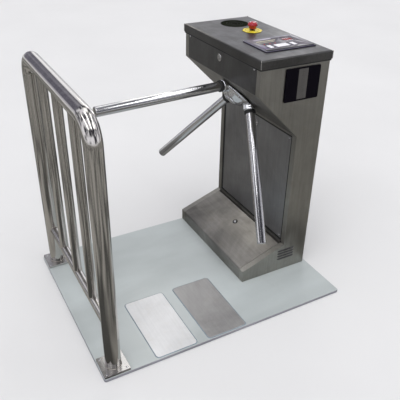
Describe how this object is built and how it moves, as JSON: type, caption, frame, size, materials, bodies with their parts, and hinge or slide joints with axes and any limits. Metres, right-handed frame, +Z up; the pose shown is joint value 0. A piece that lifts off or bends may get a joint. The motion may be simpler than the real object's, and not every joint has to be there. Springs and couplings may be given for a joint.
{
  "type": "visitor counter turnstile",
  "caption": "Tripod turnstile for counting visitors: a stainless cabinet with three inclined rotating arms, facing a tubular guard rail on a shared floor plate.",
  "frame": {"origin": "on the floor, under the centre of the rectangular floor plate", "axes": "+Z up; X across the passage from the guard rail (-X) to the cabinet (+X); Y along the walking direction, +Y towards the end that the tripod stands nearer to"},
  "size_m": [1.046, 0.9548, 1.0168],
  "materials": {
    "base_plate_glaze": "pale grey-green gloss coating",
    "brushed_stainless": "brushed stainless steel sheet",
    "polished_stainless": "mirror-polished stainless steel tube",
    "chrome_plate": "bright chrome plate",
    "machined_steel": "machined steel",
    "cast_aluminium": "plain aluminium",
    "black_plastic": "black moulded plastic",
    "indicator_lens": "pale grey light diffuser",
    "smoked_acrylic": "smoked black acrylic",
    "door_rubber": "black sealing rubber",
    "legend_yellow": "yellow legend plastic",
    "button_red": "red button plastic",
    "panel_lavender": "lavender-grey membrane panel",
    "display_window": "dark red display filter",
    "key_white": "white key caps",
    "solenoid_coil": "dark wrapped coil body",
    "circuit_board": "green circuit board laminate"
  },
  "bodies": {
    "structure": {"base_plate": "base_plate_glaze", "tread_plate_left": "brushed_stainless", "tread_plate_right": "brushed_stainless", "rail_flange_front": "polished_stainless", "rail_flange_rear": "polished_stainless", "guard_rail_hoop": "polished_stainless", "rail_bar_1": "polished_stainless", "rail_bar_2": "polished_stainless", "rail_bar_3": "polished_stainless", "rail_lower_tube": "polished_stainless", "front_end_plate": "brushed_stainless", "rear_end_plate": "brushed_stainless", "outer_side_panel": "brushed_stainless", "head_side_panel": "brushed_stainless", "mechanism_face_plate": "brushed_stainless", "foot_cover": "brushed_stainless", "access_panel": "brushed_stainless", "access_panel_gasket": "door_rubber", "front_indicator_frame": "black_plastic", "front_indicator_lens": "indicator_lens", "rear_indicator_frame": "black_plastic", "rear_indicator_lens": "indicator_lens", "lid_hinge_fixed_leaf": "brushed_stainless", "lid_hinge_pin": "machined_steel", "mechanism_chassis": "cast_aluminium", "solenoid_entry": "solenoid_coil", "solenoid_exit": "solenoid_coil", "control_board": "circuit_board", "power_supply": "cast_aluminium"},
    "tripod": {"tripod_hub": "chrome_plate", "hub_cap": "chrome_plate", "drive_shaft": "machined_steel", "index_cam": "machined_steel", "lock_ratchet": "machined_steel", "arm_1": "chrome_plate", "arm_2": "chrome_plate", "arm_3": "chrome_plate", "arm_cap_1": "chrome_plate", "arm_cap_2": "chrome_plate", "arm_cap_3": "chrome_plate"},
    "lid": {"lid": "brushed_stainless", "counter_panel": "panel_lavender", "counter_display": "display_window", "reader_window": "smoked_acrylic", "estop_legend_plate": "legend_yellow", "estop_body": "black_plastic", "lid_hinge_moving_leaf": "brushed_stainless"},
    "counter_key_left": {"counter_key_left": "key_white"},
    "counter_key_middle": {"counter_key_middle": "key_white"},
    "counter_key_right": {"counter_key_right": "key_white"},
    "estop_stem": {"estop_stem": "black_plastic"},
    "estop_knob": {"estop_knob": "button_red"},
    "lid_lock": {"lid_lock": "chrome_plate"},
    "access_lock": {"access_lock": "chrome_plate"},
    "detent_arm": {"detent_arm": "machined_steel"},
    "detent_roller": {"detent_roller": "machined_steel"},
    "pawl_entry": {"pawl_entry": "machined_steel"},
    "pawl_exit": {"pawl_exit": "machined_steel"},
    "plunger_entry": {"plunger_entry": "machined_steel"},
    "plunger_exit": {"plunger_exit": "machined_steel"}
  },
  "joints": [
    {"name": "tripod_turn", "type": "hinge", "parent": "structure", "child": "tripod", "pos_m": [0.2923, 0.114, 0.7557], "axis": [-0.7071, 0, -0.7071], "continuous": true},
    {"name": "lid_open", "type": "hinge", "parent": "structure", "child": "lid", "pos_m": [0.5155, 0.114, 0.943], "axis": [0, 1, 0], "range_deg": [0, 95]},
    {"name": "key_left_press", "type": "slide", "parent": "lid", "child": "counter_key_left", "axis": [0, 0, -1], "range_m": [0, 0.0015], "stiffness_N_per_m": 500, "springref_m": -0.001},
    {"name": "key_middle_press", "type": "slide", "parent": "lid", "child": "counter_key_middle", "axis": [0, 0, -1], "range_m": [0, 0.0015], "stiffness_N_per_m": 500, "springref_m": -0.001},
    {"name": "key_right_press", "type": "slide", "parent": "lid", "child": "counter_key_right", "axis": [0, 0, -1], "range_m": [0, 0.0015], "stiffness_N_per_m": 500, "springref_m": -0.001},
    {"name": "estop_press", "type": "slide", "parent": "lid", "child": "estop_stem", "axis": [0, 0, -1], "range_m": [0, 0.005], "stiffness_N_per_m": 900, "springref_m": -0.002},
    {"name": "estop_release_twist", "type": "hinge", "parent": "estop_stem", "child": "estop_knob", "pos_m": [0.393, 0.182, 1], "axis": [0, 0, -1], "range_deg": [0, 45], "stiffness_Nm_per_rad": 0.05},
    {"name": "lid_lock_turn", "type": "hinge", "parent": "structure", "child": "lid_lock", "pos_m": [0.203, 0.114, 0.914], "axis": [-1, 0, 0], "range_deg": [0, 90]},
    {"name": "access_lock_turn", "type": "hinge", "parent": "structure", "child": "access_lock", "pos_m": [0.3965, 0.114, 0.606], "axis": [-1, 0, 0], "range_deg": [0, 90]},
    {"name": "detent_lift", "type": "hinge", "parent": "structure", "child": "detent_arm", "pos_m": [0.28452, 0.176, 0.83278], "axis": [-0.7071, 0, -0.7071], "range_deg": [0, 8], "stiffness_Nm_per_rad": 1.5, "springref_deg": -8.59},
    {"name": "detent_roller_turn", "type": "hinge", "parent": "detent_arm", "child": "detent_roller", "pos_m": [0.28551, 0.114, 0.82613], "axis": [-0.7071, 0, -0.7071], "continuous": true},
    {"name": "pawl_entry_swing", "type": "hinge", "parent": "structure", "child": "pawl_entry", "pos_m": [0.37715, 0.048, 0.76277], "axis": [-0.7071, 0, -0.7071], "range_deg": [0, 5.5], "stiffness_Nm_per_rad": 1, "springref_deg": -8.59},
    {"name": "pawl_exit_swing", "type": "hinge", "parent": "structure", "child": "pawl_exit", "pos_m": [0.37715, 0.18, 0.76277], "axis": [-0.7071, 0, -0.7071], "range_deg": [-5.5, 0], "stiffness_Nm_per_rad": 1, "springref_deg": 8.59},
    {"name": "plunger_entry_slide", "type": "slide", "parent": "structure", "child": "plunger_entry", "axis": [0, 1, 0], "range_m": [0, 0.005]},
    {"name": "plunger_exit_slide", "type": "slide", "parent": "structure", "child": "plunger_exit", "axis": [0, -1, 0], "range_m": [0, 0.005]}
  ],
  "couplings": [
    {"joint": "plunger_entry_slide", "follows": "pawl_entry_swing", "m_per_rad": 0.05},
    {"joint": "plunger_exit_slide", "follows": "pawl_exit_swing", "m_per_rad": -0.05}
  ]
}
